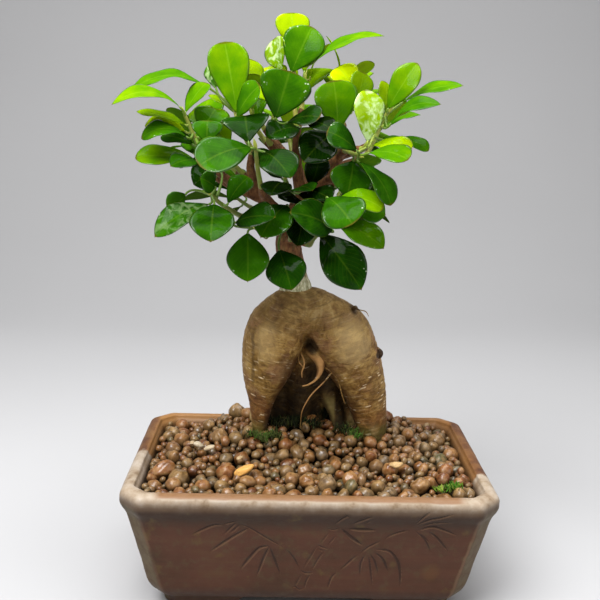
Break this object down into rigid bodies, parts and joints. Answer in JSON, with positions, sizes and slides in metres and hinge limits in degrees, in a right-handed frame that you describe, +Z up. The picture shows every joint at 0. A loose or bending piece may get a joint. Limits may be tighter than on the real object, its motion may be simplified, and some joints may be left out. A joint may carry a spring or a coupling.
{
  "type": "ginseng ficus in a bonsai pot",
  "caption": "Potted ginseng ficus: swollen forked root, grafted trunk and glossy leafy crown over clay pellets in a rectangular footed stoneware pot.",
  "frame": {"origin": "centre of the object's footprint, on the surface that the pot's feet stand on", "axes": "+Z up along the plant, +X to the right along the pot's long front, +Y towards the back"},
  "size_m": [0.2346, 0.1606, 0.3673],
  "materials": {
    "pot": "matt stoneware, cream slip on the lip",
    "soil": "moist potting mix",
    "gravel": "damp fired clay pellets",
    "caudex": "smooth fine-wrinkled bark",
    "trunk": "rough thin bark",
    "leaves": "glossy"
  },
  "bodies": {
    "root": {"pot": "pot", "soil": "soil", "gravel": "gravel", "caudex": "caudex", "trunk": "trunk", "shoot_apex": "leaves", "shoot_back_left": "leaves", "shoot_back_low": "leaves", "shoot_back_low_left": "leaves", "shoot_back_low_right": "leaves", "shoot_back_mid": "leaves", "shoot_back_right": "leaves", "shoot_crown": "leaves", "shoot_far_left": "leaves", "shoot_front_left": "leaves", "shoot_hanging_front": "leaves", "shoot_hanging_left": "leaves", "shoot_hanging_right": "leaves", "shoot_inner_far_left": "leaves", "shoot_inner_left": "leaves", "shoot_inner_low": "leaves", "shoot_inner_right": "leaves", "shoot_inner_upper_left": "leaves", "shoot_left_side": "leaves", "shoot_low_left": "leaves", "shoot_right_front": "leaves", "shoot_right_mid": "leaves", "shoot_right_side": "leaves", "shoot_top_back": "leaves", "shoot_top_right": "leaves", "shoot_upper_back_left": "leaves", "shoot_upper_back_right": "leaves", "shoot_upper_left": "leaves", "shoot_upper_right": "leaves"}
  },
  "joints": []
}
